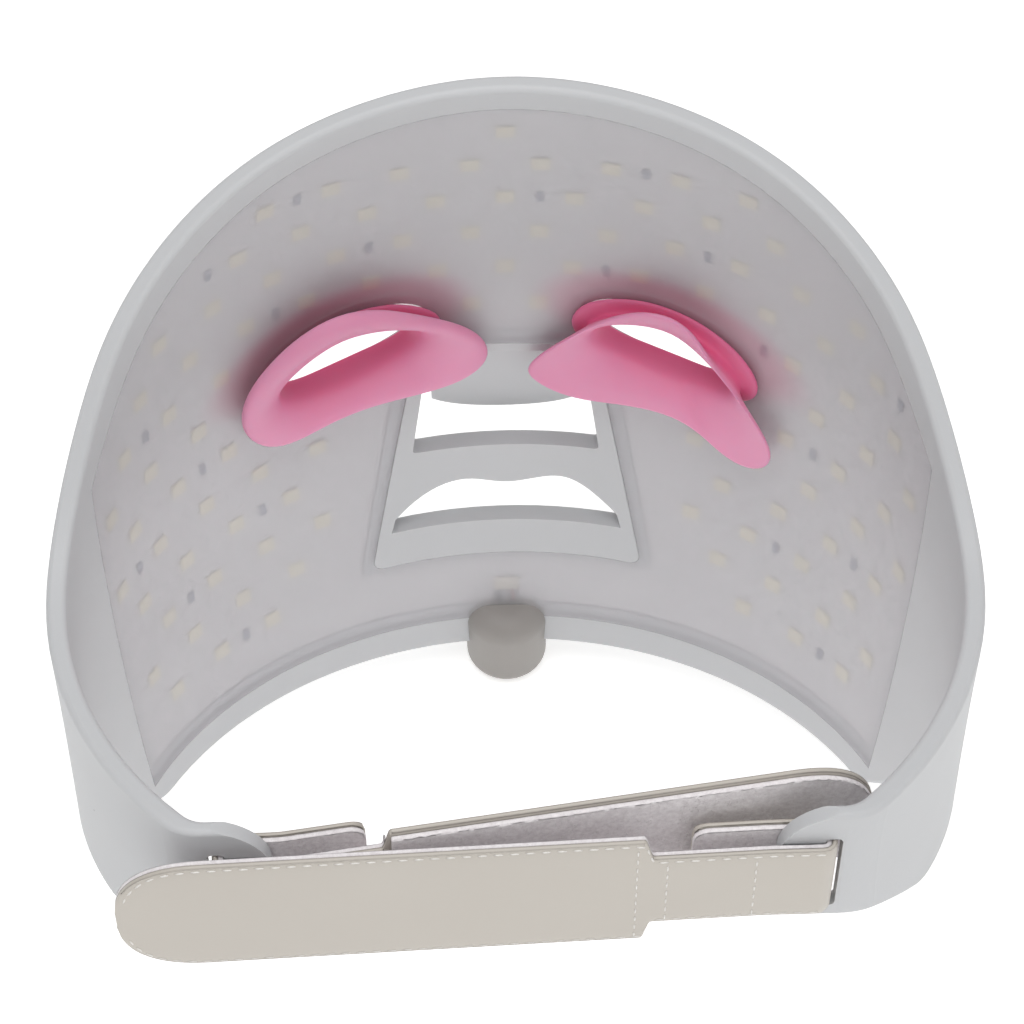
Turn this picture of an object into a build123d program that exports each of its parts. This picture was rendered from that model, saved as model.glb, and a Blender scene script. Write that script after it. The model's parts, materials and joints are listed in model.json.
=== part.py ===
# Flexible light-therapy face mask, worn with two hook-and-loop straps.
#
# Frame: millimetres, +Z up. The mask faces -Y and the wearer's left is +X.
# The origin is on the inside face, on the centre line, level with the eyes.
# "outward" is the distance from the inside face towards the outside of the mask.

import os
from functools import cache
from math import asin, cos, degrees, hypot, radians, sin

from build123d import *

os.makedirs("parts", exist_ok=True)

# Head form: the plan of the inside face is an ellipse that runs from the brow to the ears
half_width = 95.0            # centre line to the inside of the temple
half_depth = 81.0            # brow to temple, front to back
brow_lean = 14.8             # how far the brow lies back at brow_lean_height
brow_lean_height = 90.0
chin_lean = 9.5              # how far the chin lies back at chin_lean_depth
chin_lean_depth = 110.0
wing_wrap = 135.5            # angle from the nose round to where the wing turns into the tab
form_levels = (-132.0, -85.0, -40.0, 0.0, 45.0, 100.0)

# Outer shell
wall = 4.4
tab_wall = 3.2
rim_round = 1.2              # moulded rounding of the outline
brow_height = 89.0
temple_height = 9.5          # top edge of the wings
chin_depth = 114.0           # bottom edge of the chin
# Height of the top edge above the temple, as a share of the rise from temple to brow, by angle
rim_shape = ((0, 1.0), (16, 0.955), (31, 0.85), (46, 0.672), (60, 0.44), (72, 0.19), (84, 0.035),
             (98, 0.0), (125, 0.0), (156, 0.0))
jaw_back = 55.0              # how far back the chin edge reaches
jaw_round = 8.0
wing_front_back = 98.0       # where the jaw line meets the wing
wing_front_low = 54.0
wing_low = 48.0              # lower edge of the wing, below the eye line
wing_rear_ahead = 16.0       # the wing starts to rise this far ahead of the tab
wing_round = 14.0
tab_low = 31.0
tab_reach = 15.0             # length of the tab beyond the turn of the wing
tab_top_radius = 15.0
tab_low_radius = 9.0
turn_radius = 7.0            # inside bend between wing and tab

# Inner panel and what lies behind it
border = 8.0                 # width of shell left round the panel
panel_thick = 1.2
panel_gap = 0.1
glue_line = 0.05             # under the panel, on the ledge
panel_side_back = 57.0       # where the panel stops, behind the cheek
panel_low = 105.0
ledge = 3.0                  # shell ledge that the panel is bonded to
board_gap = 0.1
board_thick = 0.4
chip_height = 0.7
chip_side = 4.0
chip_pitch = 15.0
chip_row = 13.0
chip_edge_room = 4.0
chip_seat = 0.15             # solder under each chip
resistor_length = 3.2
resistor_width = 1.6
resistor_height = 0.4
chip_clear = 0.05            # between the chips and the panel

# Eye openings and cups
eye_centre = 37.0            # out from the centre line
eye_low = 1.5                # below the eye line
eye_tilt = 15.0              # outer end lower
eye_half_length = 19.0       # hole through the cup
eye_half_height = 7.6
cup_wall = 1.3
cup_fit = 0.3                # room between the cup and the mask
flange_reach = 4.0           # flange beyond the neck, all round
flange_thick = 1.5
neck_depth = 5.0             # from the mask to the narrowest part of the cup
cup_depth = 10.5             # from the mask to the lip
lip_half_length = 30.5
lip_half_height = 15.0
lip_drop = 1.0

# Nose flap, nose opening and mouth opening
bridge_low = 11.0            # top of the nose opening, below the eye line
nose_top_half = 18.0
nose_low = 44.0
nose_low_half = 22.3
flap_half = 17.4
flap_low_side = 33.0         # lower corners of the flap
flap_low_middle = 42.0
flap_forward = 6.5           # how far the flap's lower end stands forward of the wall
flap_bow = 2.5
flap_thick = 2.0
mouth_low = 70.5
mouth_half = 28.0
mouth_side_rise = 4.5
mouth_peak_half = 8.0
mouth_peak_rise = 15.0
mouth_dip = 1.6
mouth_round = 1.0
centre_border = 5.0          # shell left round the nose and the mouth
centre_top_border = 2.5
centre_low_border = 11.5

# Strap
strap_low = 11.5             # middle of the strap, below the eye line
strap_narrow = 25.0
strap_wide = 38.0
cover_thick = 1.2
lining_thick = 1.2
strap_fit = 0.3
slot_height = 26.0
slot_width = 3.6
slot_round = 1.2
bar_width = 9.5              # from the slot to the end of the tab; the strap folds round it
bar_round = 0.3              # how much rounder the loop is than the bar
hinge_beyond = 1.6           # the strap bends this far past the end of the tab
hinge_gap = 0.3
anchor_back_off = 1.4        # the inside of the loop stops this far short of the end of the bar
shoulder_radius = 3.0
outer_narrow_run = 25.0
outer_strap_run = 134.0
outer_lean = 2.0             # degrees, leaning out
outer_fold_run = 15.5
inner_narrow_run = 22.0
inner_strap_run = 124.0
inner_lean = 8.0             # degrees, leaning in
inner_fold_run = 18.5
fold_start = 2.0

# Power socket in the chin
housing_radius = 10.1
housing_top = 101.0
housing_low = 124.0
housing_low_round = 4.0
housing_top_round = 6.0
insert_radius = 5.6
insert_top = 109.0
plug_bore_radius = 4.0
plug_bore_depth = 5.0
contact_radius = 0.7
contact_spread = 1.6
contact_top = 106.0
lead_radius = 0.35
lead_room = 0.4
lead_top = 97.0
connector_width = 6.0
connector_height = 4.0


# ---------------------------------------------------------------- geometry of the head form
def set_back(height):
    if height > 0:
        return brow_lean * (height / brow_lean_height) ** 2
    return chin_lean * (height / chin_lean_depth) ** 2


def set_back_slope(height):
    if height > 0:
        return 2 * brow_lean * height / brow_lean_height ** 2
    return 2 * chin_lean * height / chin_lean_depth ** 2


def wall_point(angle, height, outward=0.0):
    turn = radians(angle)
    return Vector((half_width + outward) * sin(turn),
                  set_back(height) + half_depth - (half_depth + outward) * cos(turn), height)


def wall_normal(angle, height):
    turn = radians(angle)
    across = sin(turn) / half_width
    forward = cos(turn) / half_depth
    return Vector(across, -forward, forward * set_back_slope(height)).normalized()


def arc_rate(angle):
    turn = radians(angle)
    return hypot(half_width * cos(turn), half_depth * sin(turn)) * radians(1)


tab_back = half_depth * (1 - cos(radians(wing_wrap)))
tab_corner = half_width * sin(radians(wing_wrap))
tab_end = tab_corner - tab_reach


@cache
def head_form(outward):
    # Solid block whose side is the wall surface at this distance outward of the inside face
    tab_outward = outward * tab_wall / wall
    with BuildPart() as form:
        for level in form_levels:
            centre = (0, set_back(level) + half_depth, level)
            with BuildSketch(Plane(origin=centre, x_dir=(0, 1, 0), z_dir=(0, 0, 1))):
                Ellipse(half_depth + outward, half_width + outward)
        loft()
        split(bisect_by=Plane.XZ.offset(-(tab_back + tab_outward)), keep=Keep.TOP)
        turns = form.faces().sort_by(Axis.Y)[-1].edges().filter_by(Axis.X, reverse=True)
        fillet(turns, turn_radius + outward)
    return form.part



@cache
def layer(inner, outer):
    # The stretch of wall between two distances outward of the inside face
    with BuildPart() as sheet:
        add(head_form(outer))
        add(head_form(inner), mode=Mode.SUBTRACT)
    return sheet.part


# ---------------------------------------------------------------- outlines, cut through the wall
def rim_height(share):
    return temple_height + (brow_height - temple_height) * share


def rim_curve(inset, outward):
    # The top edge, moved down the wall by the inset and out of it by outward
    knots = []
    for angle, share in rim_shape:
        height = rim_height(share)
        step = 1.0
        ahead = rim_height(rim_share(angle + step))
        behind = rim_height(rim_share(abs(angle - step)))
        slope = (ahead - behind) / (2 * step * arc_rate(angle))
        length = hypot(1, slope)
        moved = angle + inset * slope / length / arc_rate(angle)
        knots.append((moved, height - inset / length))
    half = [wall_point(angle, height, outward) for angle, height in knots]
    other = [Vector(-point.X, point.Y, point.Z) for point in reversed(half[1:])]
    return Spline(*other, *half)


def rim_share(angle):
    # Straight interpolation between the listed shares, for the slope only
    for (low, share_low), (high, share_high) in zip(rim_shape, rim_shape[1:]):
        if angle <= high:
            return share_low + (share_high - share_low) * (angle - low) / (high - low)
    return 0.0


@cache
def above_rim(inset):
    # Everything above the top edge: a strip that leans with the wall, raised to a block
    reach = 14.0
    with BuildLine():
        near = rim_curve(inset, -reach)
        far = rim_curve(inset, reach + wall)
    strip = Face.make_surface_from_curves(near, far)
    return extrude(strip, amount=form_levels[-1] + 40, dir=(0, 0, 1))


far_out = 260.0              # past everything, for cuts that run right through


def below_jaw():
    # Everything below the chin, the jaw line and the wings, seen from the side
    with BuildPart() as cut:
        with BuildSketch(Plane.YZ):
            with BuildLine():
                edge = FilletPolyline(
                    (-far_out, -chin_depth), (jaw_back, -chin_depth),
                    (wing_front_back, -wing_front_low),
                    (tab_back - wing_rear_ahead, -wing_low),
                    (tab_back + wing_round, -tab_low + wing_round),
                    radius=(jaw_round, wing_round, wing_round))
                Polyline(edge @ 1, (far_out, -tab_low + wing_round), (far_out, -far_out),
                         (-far_out, -far_out), edge @ 0)
            make_face()
        extrude(amount=far_out, both=True)
    return cut.part


def between_tabs():
    # The gap between the two tabs, seen from behind, with the tabs' rounded corners left standing
    ahead = 22.0
    with BuildPart() as cut:
        with BuildSketch(Plane.XZ.offset(-(tab_back - ahead))):
            Rectangle(2 * (tab_end + tab_top_radius), 2 * far_out)
            for side in (-1, 1):
                with BuildLine():
                    start = side * far_out
                    FilletPolyline((start, temple_height + 1), (side * tab_end, temple_height + 1),
                                   (side * tab_end, -tab_low), (start, -tab_low),
                                   radius=(tab_top_radius, tab_low_radius))
                    Line((start, -tab_low), (start, temple_height + 1))
                make_face(mode=Mode.SUBTRACT)
        extrude(amount=-far_out)
    return cut.part


def strap_slots():
    with BuildPart() as cut:
        with BuildSketch(Plane.XZ.offset(-(tab_back - wall))):
            middle = tab_end + bar_width + slot_width / 2
            with Locations((middle, -strap_low), (-middle, -strap_low)):
                RectangleRounded(slot_width, slot_height, slot_round)
        extrude(amount=-4 * wall)
    return cut.part


# ---------------------------------------------------------------- eye openings
eye_angle = degrees(asin(eye_centre / half_width))
eye_point = wall_point(eye_angle, -eye_low)
eye_facing = wall_normal(eye_angle, 0) * -1
eye_along = Vector(eye_facing.Y, -eye_facing.X, 0)
left_eye = Plane(origin=eye_point, x_dir=eye_along, z_dir=eye_facing)


@cache
def eye_hole(grow):
    # Both openings, cut square to the wall at each eye
    with BuildPart() as cut:
        with BuildSketch(left_eye.offset(-4 * wall)):
            Ellipse(eye_half_length + cup_wall + grow, eye_half_height + cup_wall + grow,
                    rotation=eye_tilt)
        extrude(amount=8 * wall)
        mirror(about=Plane.YZ)
    return cut.part


# ---------------------------------------------------------------- nose and mouth
def nose_opening():
    with BuildPart() as cut:
        with BuildSketch(Plane.XZ):
            with BuildLine():
                FilletPolyline((-nose_top_half, -bridge_low), (nose_top_half, -bridge_low),
                               (nose_low_half, -nose_low), (-nose_low_half, -nose_low),
                               radius=mouth_round, close=True)
            make_face()
        extrude(amount=half_depth / 2, both=True)
    return cut.part


def mouth_opening():
    with BuildPart() as cut:
        with BuildSketch(Plane.XZ):
            with BuildLine():
                side = (mouth_half - mouth_round, -mouth_low + mouth_side_rise)
                peak = (mouth_peak_half, -mouth_low + mouth_peak_rise)
                dip = (0, -mouth_low + mouth_peak_rise - mouth_dip)
                lip = Spline(side, peak, dip, (-peak[0], peak[1]), (-side[0], side[1]),
                             tangents=((-1, 1.2), (-1, -1.2)))
                Polyline(side, (mouth_half, -mouth_low), (-mouth_half, -mouth_low), (-side[0], side[1]))
            make_face()
        extrude(amount=half_depth / 2, both=True)
    return cut.part


def centre_opening(grow):
    # The part of the panel that is left out round the nose and mouth
    top = -bridge_low + centre_top_border + grow
    low = -mouth_low - centre_low_border - grow
    top_half = nose_top_half + centre_top_border + grow
    low_half = mouth_half + centre_border + grow
    with BuildPart() as cut:
        with BuildSketch(Plane.XZ):
            with BuildLine():
                FilletPolyline((-top_half, top), (top_half, top), (low_half, low), (-low_half, low),
                               radius=centre_border / 2, close=True)
            make_face()
        extrude(amount=half_depth / 2, both=True)
    return cut.part


# ---------------------------------------------------------------- panel outline
def panel_layer(inner, outer, inset, hole_grow):
    # A sheet inside the wall, trimmed to the panel's outline less an inset
    with BuildPart() as sheet:
        add(layer(inner, outer))
        add(above_rim(border + inset), mode=Mode.SUBTRACT)
        with BuildSketch(Plane.XZ.offset(-(panel_side_back - inset))):
            Rectangle(2 * far_out, 2 * far_out)
        extrude(amount=-far_out, mode=Mode.SUBTRACT)
        with BuildSketch(Plane.XY.offset(-(panel_low - inset))):
            Rectangle(2 * far_out, 2 * far_out)
        extrude(amount=-far_out, mode=Mode.SUBTRACT)
        add(eye_hole(hole_grow), mode=Mode.SUBTRACT)
        add(centre_opening(inset), mode=Mode.SUBTRACT)
    return sheet.part


board_inner = panel_thick + board_gap + chip_height
board_outer = board_inner + board_thick
cavity_outer = board_outer + board_gap

# ---------------------------------------------------------------- power socket
socket_back = wall_point(0, -(housing_top + housing_low) / 2, 0.75 * wall).Y

with BuildPart() as housing_form:
    with BuildSketch(Plane.XY.offset(-housing_low)):
        with Locations((0, socket_back)):
            Circle(housing_radius)
    extrude(amount=housing_low - housing_top)
    fillet(housing_form.faces().sort_by(Axis.Z)[0].edges(), housing_low_round)
    fillet(housing_form.faces().sort_by(Axis.Z)[-1].edges(), housing_top_round)

lead_ends = []
for side in (-1, 1):
    angle = degrees(asin(side * contact_spread / half_width))
    start = Vector(side * contact_spread, socket_back, -contact_top)
    lead_ends.append((start, wall_point(angle, -lead_top, board_inner - chip_height / 2)))


def lead_rod(ends, radius):
    start, stop = ends
    with BuildPart() as rod:
        with BuildSketch(Plane(origin=start, z_dir=stop - start)):
            Circle(radius)
        extrude(amount=(stop - start).length)
    return rod.part


with BuildPart() as socket_housing:
    add(housing_form.part)
    with BuildSketch(Plane.XY.offset(-housing_low)):
        with Locations((0, socket_back)):
            Circle(insert_radius)
    extrude(amount=housing_low - insert_top, mode=Mode.SUBTRACT)
    for ends in lead_ends:
        add(lead_rod(ends, lead_radius + lead_room), mode=Mode.SUBTRACT)
    with BuildSketch(Plane.XY.offset(-insert_top)):
        with Locations((-contact_spread, socket_back), (contact_spread, socket_back)):
            Circle(contact_radius)
    extrude(amount=insert_top - contact_top, mode=Mode.SUBTRACT)
socket_housing.part.label = "socket_housing"

with BuildPart() as socket_insert:
    with BuildSketch(Plane.XY.offset(-housing_low)):
        with Locations((0, socket_back)):
            Circle(insert_radius)
    extrude(amount=housing_low - insert_top)
    with BuildSketch(Plane.XY.offset(-housing_low)):
        with Locations((0, socket_back)):
            Circle(plug_bore_radius)
    extrude(amount=plug_bore_depth, mode=Mode.SUBTRACT)
    with BuildSketch(Plane.XY.offset(-housing_low)):
        with Locations((-contact_spread, socket_back), (contact_spread, socket_back)):
            Circle(contact_radius)
    extrude(amount=housing_low - insert_top, mode=Mode.SUBTRACT)
socket_insert.part.label = "socket_insert"

with BuildPart() as socket_contacts:
    with BuildSketch(Plane.XY.offset(-(housing_low - plug_bore_depth))):
        with Locations((-contact_spread, socket_back), (contact_spread, socket_back)):
            Circle(contact_radius)
    extrude(amount=housing_low - plug_bore_depth - contact_top)
socket_contacts.part.label = "socket_contacts"

with BuildPart() as red_lead:
    add(lead_rod(lead_ends[0], lead_radius))
red_lead.part.label = "red_lead"

with BuildPart() as black_lead:
    add(lead_rod(lead_ends[1], lead_radius))
black_lead.part.label = "black_lead"

# ---------------------------------------------------------------- outer shell
# Nose flap: a tongue that leans forward from the bridge, with a round lower edge
with BuildPart() as nose_flap:
    for height, forward, bow in ((-bridge_low + flap_thick / 2, (wall - flap_thick) / 2, flap_bow / 4),
                                 (-flap_low_middle, flap_forward, flap_bow)):
        with BuildSketch(Plane.XY.offset(height)):
            with BuildLine():
                ThreePointArc((-flap_half, -forward), (0, -forward - bow), (flap_half, -forward))
                Line((flap_half, -forward), (flap_half, -forward - flap_thick))
                ThreePointArc((flap_half, -forward - flap_thick), (0, -forward - bow - flap_thick),
                              (-flap_half, -forward - flap_thick))
                Line((-flap_half, -forward - flap_thick), (-flap_half, -forward))
            make_face()
    loft()
    with BuildSketch(Plane.XZ):
        with BuildLine():
            ThreePointArc((-flap_half - 1, -flap_low_side), (0, -flap_low_middle),
                          (flap_half + 1, -flap_low_side))
            Polyline((flap_half + 1, -flap_low_side), (flap_half + 1, -chin_depth),
                     (-flap_half - 1, -chin_depth), (-flap_half - 1, -flap_low_side))
        make_face()
    extrude(amount=half_depth / 2, both=True, mode=Mode.SUBTRACT)

with BuildPart() as outer_shell:
    add(layer(0, wall))
    add(above_rim(0), mode=Mode.SUBTRACT)
    add(below_jaw(), mode=Mode.SUBTRACT)
    add(between_tabs(), mode=Mode.SUBTRACT)
    add(strap_slots(), mode=Mode.SUBTRACT)
    add(eye_hole(cup_fit), mode=Mode.SUBTRACT)
    add(nose_opening(), mode=Mode.SUBTRACT)
    add(mouth_opening(), mode=Mode.SUBTRACT)
    add(panel_layer(-wall, panel_thick + glue_line, 0, cup_fit), mode=Mode.SUBTRACT)
    add(panel_layer(-wall, cavity_outer, ledge, cup_fit + ledge), mode=Mode.SUBTRACT)
    add(nose_flap.part)
    add(housing_form.part, mode=Mode.SUBTRACT)
    for ends in lead_ends:
        add(lead_rod(ends, lead_radius + lead_room), mode=Mode.SUBTRACT)
    # the moulded outline is round: the two long edges of the rim and the edges under the chin
    rim_edges = outer_shell.edges().sort_by(Edge.length)[-2:]
    fillet(rim_edges, rim_round)
    chin_edges = [edge for edge in outer_shell.edges()
                  if abs(edge.center().Z + chin_depth) < 0.1 and edge.length > half_width / 2]
    fillet(chin_edges, rim_round)
outer_shell.part.label = "outer_shell"

# ---------------------------------------------------------------- panel and board
with BuildPart() as inner_panel:
    add(panel_layer(0, panel_thick, panel_gap, cup_fit))
    add(housing_form.part, mode=Mode.SUBTRACT)
inner_panel.part.label = "inner_panel"

with BuildPart() as flex_board:
    add(panel_layer(board_inner, board_outer, ledge + panel_gap, cup_fit + ledge + panel_gap))
    add(housing_form.part, mode=Mode.SUBTRACT)
    with BuildSketch(Plane.XY.offset(-lead_top)):
        Rectangle(4 * contact_spread, half_depth)
    extrude(amount=-chin_depth, mode=Mode.SUBTRACT)
flex_board.part.label = "flex_board"


def on_wall(angle, height, outward):
    # A plane on the wall that faces the wearer, its x axis level
    facing = wall_normal(angle, height) * -1
    level = Vector(0, 0, 1).cross(facing)
    return Plane(origin=wall_point(angle, height, outward), x_dir=level, z_dir=facing)


def angle_at(distance):
    # The angle that lies this far along the inside face from the centre line
    angle = 0.0
    for _ in range(200):
        angle += distance / 200 / arc_rate(angle)
    return angle


def room_on_board(angle, height, room):
    # True where a chip of this half size clears every edge of the board
    place = wall_point(angle, height)
    room = room + ledge
    below_edge = height < rim_height(rim_share(abs(angle))) - border - 1.6 * room
    above_chin = height > -panel_low + room
    ahead = place.Y < panel_side_back - room
    along = (abs(place.X) - eye_centre) / cos(radians(eye_angle))
    rise = height + eye_low
    tilt = radians(eye_tilt)
    major = along * cos(tilt) - rise * sin(tilt)
    minor = along * sin(tilt) + rise * cos(tilt)
    off_eye = hypot(major / (eye_half_length + cup_wall + room),
                    minor / (eye_half_height + cup_wall + room)) > 1
    share = (-height - bridge_low) / (mouth_low - bridge_low)
    half = nose_top_half + (mouth_half + centre_border - nose_top_half) * max(share, 0)
    beside = abs(place.X) > half + room + chip_side
    above = height > -bridge_low + centre_top_border + room
    below = height < -mouth_low - centre_low_border - room
    off_centre = beside or above or below
    off_socket = hypot(place.X, height + lead_top) > connector_width + room
    return below_edge and above_chin and ahead and off_eye and off_centre and off_socket


chip_places = []
resistor_places = []
row_count = int((brow_height + panel_low) / chip_row)
for row in range(row_count):
    height = brow_height - border - chip_row * (row + 0.9)
    column_count = int(half_width * 1.6 / chip_pitch)
    for column in range(-column_count, column_count + 1):
        distance = chip_pitch * (column + 0.5 * (row % 2))
        angle = angle_at(abs(distance)) * (1 if distance >= 0 else -1)
        if room_on_board(angle, height, chip_edge_room):
            chip_places.append((angle, height))
        beside = angle_at(abs(distance + chip_pitch / 2)) * (1 if distance + chip_pitch / 2 >= 0 else -1)
        if (row + 2 * column) % 5 == 0 and room_on_board(beside, height, chip_edge_room):
            resistor_places.append((beside, height))

with BuildPart() as led_chips:
    for angle, height in chip_places:
        with BuildSketch(on_wall(angle, height, board_inner - chip_seat)):
            Rectangle(chip_side, chip_side)
        extrude(amount=chip_height - chip_seat - chip_clear)
led_chips.part.label = "led_chips"

with BuildPart() as resistors:
    for angle, height in resistor_places:
        with BuildSketch(on_wall(angle, height, board_inner - chip_seat)):
            Rectangle(resistor_width, resistor_length)
        extrude(amount=resistor_height)
resistors.part.label = "resistors"

with BuildPart() as board_connector:
    with BuildSketch(on_wall(0, -lead_top + connector_height / 2, board_inner - chip_seat)):
        Rectangle(connector_width, connector_height)
    extrude(amount=chip_height - chip_seat - chip_clear)
board_connector.part.label = "board_connector"

# ---------------------------------------------------------------- eye cups
# Flange that lies along the inside of the mask
with BuildPart() as cup_flange:
    with BuildSketch(left_eye.offset(-3 * wall)):
        Ellipse(eye_half_length + cup_wall + flange_reach, eye_half_height + cup_wall + flange_reach,
                rotation=eye_tilt)
        Ellipse(eye_half_length, eye_half_height, rotation=eye_tilt, mode=Mode.SUBTRACT)
    extrude(amount=6 * wall)
    add(layer(-cup_fit - flange_thick, -cup_fit), mode=Mode.INTERSECT)

with BuildPart() as left_eye_cup:
    for skin, action in ((cup_wall, Mode.ADD), (0, Mode.SUBTRACT)):
        with BuildSketch(left_eye.offset(-3 * wall)):
            Ellipse(eye_half_length + skin, eye_half_height + skin, rotation=eye_tilt)
        extrude(amount=3 * wall + flange_thick, mode=action)
        lip_grow = skin - cup_wall
        for depth, length, height, drop in (
                (flange_thick, eye_half_length + skin, eye_half_height + skin, 0),
                (neck_depth, eye_half_length + skin, eye_half_height + skin, 0),
                (cup_depth, lip_half_length + lip_grow, lip_half_height + lip_grow, lip_drop)):
            with BuildSketch(left_eye.offset(depth)):
                with Locations((0, drop)):
                    Ellipse(length, height, rotation=eye_tilt)
        loft(mode=action)
    add(head_form(wall), mode=Mode.INTERSECT)
    add(cup_flange.part)
left_eye_cup.part.label = "left_eye_cup"

with BuildPart() as right_eye_cup:
    add(mirror(left_eye_cup.part, about=Plane.YZ))
right_eye_cup.part.label = "right_eye_cup"

# ---------------------------------------------------------------- straps
strap_thick = cover_thick + lining_thick
hinge_across = tab_end - hinge_beyond
hinge_back = tab_back + tab_wall + strap_fit + lining_thick
outer_turn = radians(outer_lean)
inner_turn = radians(inner_lean)
outer_place = Plane(origin=(-hinge_across, hinge_back, -strap_low),
                    x_dir=(cos(outer_turn), sin(outer_turn), 0),
                    z_dir=(-sin(outer_turn), cos(outer_turn), 0))
inner_place = Plane(origin=(hinge_across, hinge_back, -strap_low),
                    x_dir=(-cos(inner_turn), -sin(inner_turn), 0),
                    z_dir=(-sin(inner_turn), cos(inner_turn), 0))


def strap_sheet(place, start, narrow_run, total_run, low, high):
    # A flat layer of the strap, from a start along its run to its round tip
    with BuildPart() as sheet:
        with BuildSketch(place.offset(low)):
            if start < narrow_run:
                with Locations(((start + narrow_run) / 2, 0)):
                    Rectangle(narrow_run - start, strap_narrow)
            round_centre = total_run - strap_wide / 2
            with Locations(((narrow_run + round_centre) / 2, 0)):
                Rectangle(round_centre - narrow_run, strap_wide)
            with Locations((round_centre, 0)):
                Circle(strap_wide / 2)
        extrude(amount=high - low)
        shoulders = []
        for edge in sheet.edges().filter_by(Axis(place.origin, place.z_dir)):
            middle = place.to_local_coords(edge.center())
            if abs(middle.X - narrow_run) < 0.01 and abs(abs(middle.Y) - strap_wide / 2) < 0.01:
                shoulders.append(edge)
        fillet(shoulders, shoulder_radius)
    return sheet.part


def strap_bend(place, thick, keep):
    # Half of the round end on which the strap swings
    with BuildPart() as bend:
        level = Plane(origin=place.origin, x_dir=place.x_dir, z_dir=(0, 0, 1))
        with BuildSketch(level.offset(-strap_narrow / 2)):
            Circle(thick)
        extrude(amount=strap_narrow)
        split(bisect_by=place, keep=keep)
    return bend.part


def strap_run(place, narrow_run, low, high):
    # A plain narrow layer, from the hinge to the shoulder
    with BuildPart() as run:
        with BuildSketch(place.offset(low)):
            with Locations((narrow_run / 2, 0)):
                Rectangle(narrow_run, strap_narrow)
        extrude(amount=high - low)
    return run.part


def strap_fold(place, fold_run, low, high):
    # The end of the strap, folded back inside the tab
    with BuildPart() as fold:
        with BuildSketch(place.offset(low)):
            with Locations(((fold_start + fold_run) / 2, 0)):
                RectangleRounded(fold_run - fold_start, strap_narrow, shoulder_radius / 2)
        extrude(amount=high - low)
    return fold.part


def anchor_layer(side, near, far):
    # One layer of the loop round the bar of a tab
    start = hinge_across + max(cover_thick, lining_thick) + hinge_gap
    inside_start = tab_end + anchor_back_off
    with BuildPart() as loop:
        with BuildSketch(Plane.XY.offset(-strap_low - strap_narrow / 2)):
            for grow, action in ((far, Mode.ADD), (near, Mode.SUBTRACT)):
                with BuildLine():
                    FilletPolyline((0, tab_back - grow), (tab_end + bar_width + grow, tab_back - grow),
                                   (tab_end + bar_width + grow, tab_back + tab_wall + grow),
                                   (0, tab_back + tab_wall + grow), radius=grow + bar_round)
                    Line((0, tab_back + tab_wall + grow), (0, tab_back - grow))
                make_face(mode=action)
            middle = tab_back + tab_wall / 2
            with Locations((0, middle)):
                Rectangle(2 * start, 2 * far_out, mode=Mode.SUBTRACT)
            with Locations((0, middle - far_out)):
                Rectangle(2 * inside_start, 2 * far_out, mode=Mode.SUBTRACT)
        extrude(amount=strap_narrow)
    if side < 0:
        return mirror(loop.part, about=Plane.YZ)
    return loop.part


anchor_lining = strap_fit, strap_fit + lining_thick
anchor_cover = strap_fit + lining_thick, strap_fit + strap_thick
fold_high = -lining_thick - 2 * strap_fit - tab_wall

with BuildPart() as outer_strap_anchor_cover:
    add(anchor_layer(-1, *anchor_cover))
outer_strap_anchor_cover.part.label = "outer_strap_anchor_cover"

with BuildPart() as outer_strap_anchor_lining:
    add(anchor_layer(-1, *anchor_lining))
outer_strap_anchor_lining.part.label = "outer_strap_anchor_lining"

with BuildPart() as inner_strap_anchor_cover:
    add(anchor_layer(1, *anchor_cover))
inner_strap_anchor_cover.part.label = "inner_strap_anchor_cover"

with BuildPart() as inner_strap_anchor_lining:
    add(anchor_layer(1, *anchor_lining))
inner_strap_anchor_lining.part.label = "inner_strap_anchor_lining"

with BuildPart() as outer_strap_cover:
    add(strap_sheet(outer_place, 0, outer_narrow_run, outer_strap_run, 0, cover_thick))
    add(strap_bend(outer_place, cover_thick, Keep.TOP))
outer_strap_cover.part.label = "outer_strap_cover"

with BuildPart() as outer_strap_lining:
    add(strap_sheet(outer_place, 0, outer_narrow_run, outer_strap_run, -lining_thick, 0))
    add(strap_bend(outer_place, lining_thick, Keep.BOTTOM))
outer_strap_lining.part.label = "outer_strap_lining"

with BuildPart() as outer_strap_fold_lining:
    add(strap_fold(outer_place, outer_fold_run, fold_high - lining_thick, fold_high))
outer_strap_fold_lining.part.label = "outer_strap_fold_lining"

with BuildPart() as outer_strap_fold_cover:
    add(strap_fold(outer_place, outer_fold_run, fold_high - strap_thick, fold_high - lining_thick))
outer_strap_fold_cover.part.label = "outer_strap_fold_cover"

# The inner strap carries its soft loop outward, so that the other strap can grip it
with BuildPart() as inner_strap_cover:
    add(strap_sheet(inner_place, 0, inner_narrow_run, inner_strap_run, 0, cover_thick))
    add(strap_bend(inner_place, cover_thick, Keep.TOP))
inner_strap_cover.part.label = "inner_strap_cover"

with BuildPart() as inner_strap_lining:
    add(strap_run(inner_place, inner_narrow_run, -lining_thick, 0))
    add(strap_bend(inner_place, lining_thick, Keep.BOTTOM))
inner_strap_lining.part.label = "inner_strap_lining"

with BuildPart() as inner_strap_loop:
    add(strap_sheet(inner_place, inner_narrow_run, inner_narrow_run, inner_strap_run,
                    cover_thick, strap_thick))
inner_strap_loop.part.label = "inner_strap_loop"

with BuildPart() as inner_strap_fold_lining:
    add(strap_fold(inner_place, inner_fold_run, fold_high - lining_thick, fold_high))
inner_strap_fold_lining.part.label = "inner_strap_fold_lining"

with BuildPart() as inner_strap_fold_cover:
    add(strap_fold(inner_place, inner_fold_run, fold_high - strap_thick, fold_high - lining_thick))
inner_strap_fold_cover.part.label = "inner_strap_fold_cover"

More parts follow.
